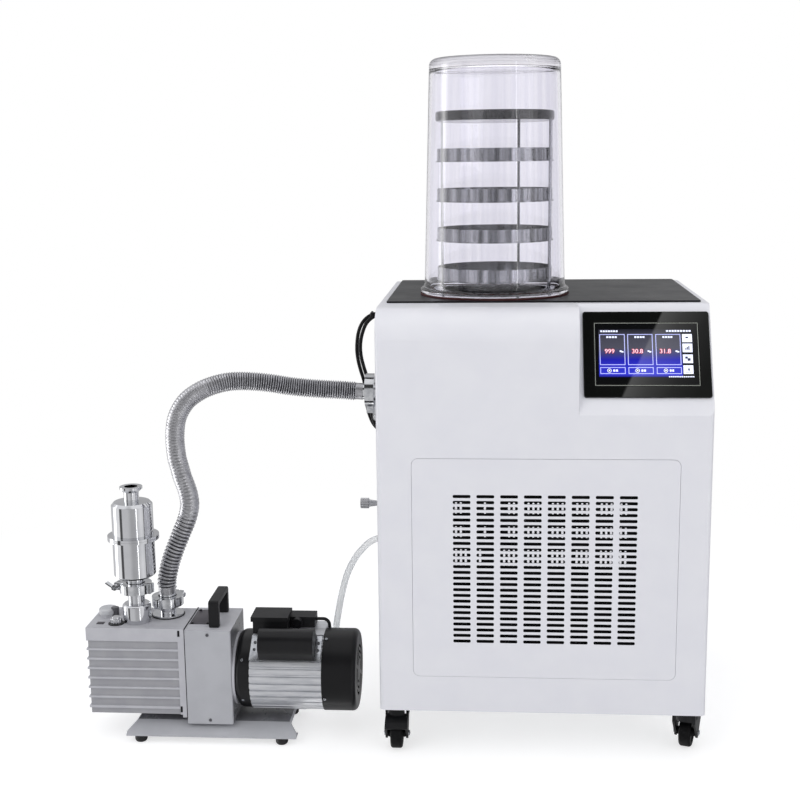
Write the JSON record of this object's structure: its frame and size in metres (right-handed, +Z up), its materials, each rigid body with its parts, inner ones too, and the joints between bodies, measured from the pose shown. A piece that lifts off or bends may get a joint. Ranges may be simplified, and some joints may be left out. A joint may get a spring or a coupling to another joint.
{
  "type": "freeze dryer",
  "caption": "Benchtop freeze dryer on casters: white cabinet, sloped touch screen, cold trap under a clear drying jar with tray rack, joined by a metal hose to a rotary vane vacuum pump.",
  "frame": {"origin": "floor level, under the middle of the whole system's outline", "axes": "+Z up, the cabinet's front and screen face -Y, the vacuum pump stands at the -X side"},
  "size_m": [1.038, 0.48, 1.133],
  "materials": {
    "white_paint": "satin",
    "galvanised_steel": "satin",
    "black_plate": "satin",
    "black_bezel": "gloss",
    "screen_glass": "gloss",
    "stainless_steel": "satin",
    "foam": "matte",
    "copper": "satin",
    "black_plastic": "matte",
    "red_plastic": "gloss",
    "red_rubber": "matte",
    "clear_acrylic": "gloss",
    "black_paint": "satin",
    "alloy": "satin",
    "fan_plastic": "matte",
    "zinc_steel": "satin",
    "caster_rubber": "matte",
    "clear_tube": "satin",
    "cable_jacket": "satin",
    "pump_paint": "satin",
    "foot_rubber": "matte",
    "grey_plastic": "matte"
  },
  "bodies": {
    "dryer": {"base_frame": "galvanised_steel", "front_shell": "white_paint", "grille_panel": "white_paint", "cabinet_wrap": "white_paint", "top_panel": "white_paint", "top_plate": "black_plate", "screen_bezel": "black_bezel", "touch_screen": "screen_glass", "cold_trap": "stainless_steel", "trap_insulation": "foam", "evaporator_coil": "copper", "vacuum_port": "stainless_steel", "release_valve": "stainless_steel", "cable_glands": "black_plastic", "jar_gasket": "red_rubber", "bell_jar": "clear_acrylic", "rack_frame": "stainless_steel", "rack_cover": "black_plastic", "trays": "stainless_steel", "compressor": "black_paint", "condenser": "alloy", "fan_shroud": "black_plastic", "control_box": "galvanised_steel", "power_inlet": "black_plastic", "vacuum_hose": "alloy", "hose_flanges": "stainless_steel", "drain_tube": "clear_tube", "sensor_cable_a": "cable_jacket", "sensor_cable_b": "cable_jacket", "pump_base": "pump_paint", "pump_feet": "foot_rubber", "oil_tank": "pump_paint", "filler_cap": "grey_plastic", "pump_housing": "pump_paint", "housing_cover": "pump_paint", "pump_handle": "black_plastic", "motor_end_bell": "black_paint", "motor_body": "alloy", "fan_cover": "black_plastic", "terminal_box": "black_plastic", "capacitor_cover": "black_paint", "pump_inlet": "stainless_steel", "exhaust_adapter": "alloy", "filter_lower": "stainless_steel", "filter_upper": "stainless_steel", "flange_clamps": "alloy"},
    "caster_fl": {"caster_fork_fl": "black_plastic"},
    "caster_fr": {"caster_fork_fr": "black_plastic"},
    "caster_rl": {"caster_fork_rl": "black_plastic"},
    "caster_rr": {"caster_fork_rr": "black_plastic"},
    "wheel_fl": {"caster_wheel_fl": "caster_rubber"},
    "wheel_fr": {"caster_wheel_fr": "caster_rubber"},
    "wheel_rl": {"caster_wheel_rl": "caster_rubber"},
    "wheel_rr": {"caster_wheel_rr": "caster_rubber"},
    "condenser_fan": {"fan_blades": "fan_plastic"},
    "pump_rotor": {"motor_rotor": "zinc_steel"},
    "mains_rocker": {"power_rocker": "red_plastic"},
    "pump_switch_rocker": {"pump_rocker": "black_plastic"},
    "release_valve_knob": {"release_knob": "stainless_steel"},
    "gas_ballast_knob": {"ballast_knob": "stainless_steel"}
  },
  "joints": [
    {"name": "swivel_fl", "type": "hinge", "parent": "dryer", "child": "caster_fl", "pos_m": [0.009, -0.199, 0.07], "axis": [0, 0, 1], "continuous": true},
    {"name": "roll_fl", "type": "hinge", "parent": "caster_fl", "child": "wheel_fl", "pos_m": [0.009, -0.214, 0.025], "axis": [1, 0, 0], "continuous": true},
    {"name": "swivel_fr", "type": "hinge", "parent": "dryer", "child": "caster_fr", "pos_m": [0.487, -0.199, 0.07], "axis": [0, 0, 1], "continuous": true},
    {"name": "roll_fr", "type": "hinge", "parent": "caster_fr", "child": "wheel_fr", "pos_m": [0.49163, -0.18473, 0.025], "axis": [-0.9511, 0.309, 0], "continuous": true},
    {"name": "swivel_rl", "type": "hinge", "parent": "dryer", "child": "caster_rl", "pos_m": [0.009, 0.199, 0.07], "axis": [0, 0, 1], "continuous": true},
    {"name": "roll_rl", "type": "hinge", "parent": "caster_rl", "child": "wheel_rl", "pos_m": [0.009, 0.214, 0.025], "axis": [-1, 0, 0], "continuous": true},
    {"name": "swivel_rr", "type": "hinge", "parent": "dryer", "child": "caster_rr", "pos_m": [0.487, 0.199, 0.07], "axis": [0, 0, 1], "continuous": true},
    {"name": "roll_rr", "type": "hinge", "parent": "caster_rr", "child": "wheel_rr", "pos_m": [0.487, 0.214, 0.025], "axis": [-1, 0, 0], "continuous": true},
    {"name": "condenser_fan_spin", "type": "hinge", "parent": "dryer", "child": "condenser_fan", "pos_m": [0.248, -0.163, 0.276], "axis": [0, 1, 0], "continuous": true},
    {"name": "pump_rotor_spin", "type": "hinge", "parent": "dryer", "child": "pump_rotor", "pos_m": [-0.187, -0.15, 0.11], "axis": [1, 0, 0], "continuous": true},
    {"name": "mains_rocker_tilt", "type": "hinge", "parent": "dryer", "child": "mains_rocker", "pos_m": [0.513, 0.15, 0.183], "axis": [0, 1, 0], "range_deg": [0, 16]},
    {"name": "pump_switch_tilt", "type": "hinge", "parent": "dryer", "child": "pump_switch_rocker", "pos_m": [-0.1667, -0.143, 0.1885], "axis": [1, 0, 0], "range_deg": [0, 16]},
    {"name": "release_knob_turn", "type": "hinge", "parent": "dryer", "child": "release_valve_knob", "pos_m": [-0.058, -0.005, 0.365], "axis": [-1, 0, 0], "range_deg": [0, 360]},
    {"name": "gas_ballast_turn", "type": "hinge", "parent": "dryer", "child": "gas_ballast_knob", "pos_m": [-0.47, -0.185, 0.205], "axis": [0, 0, 1], "range_deg": [0, 180]}
  ]
}
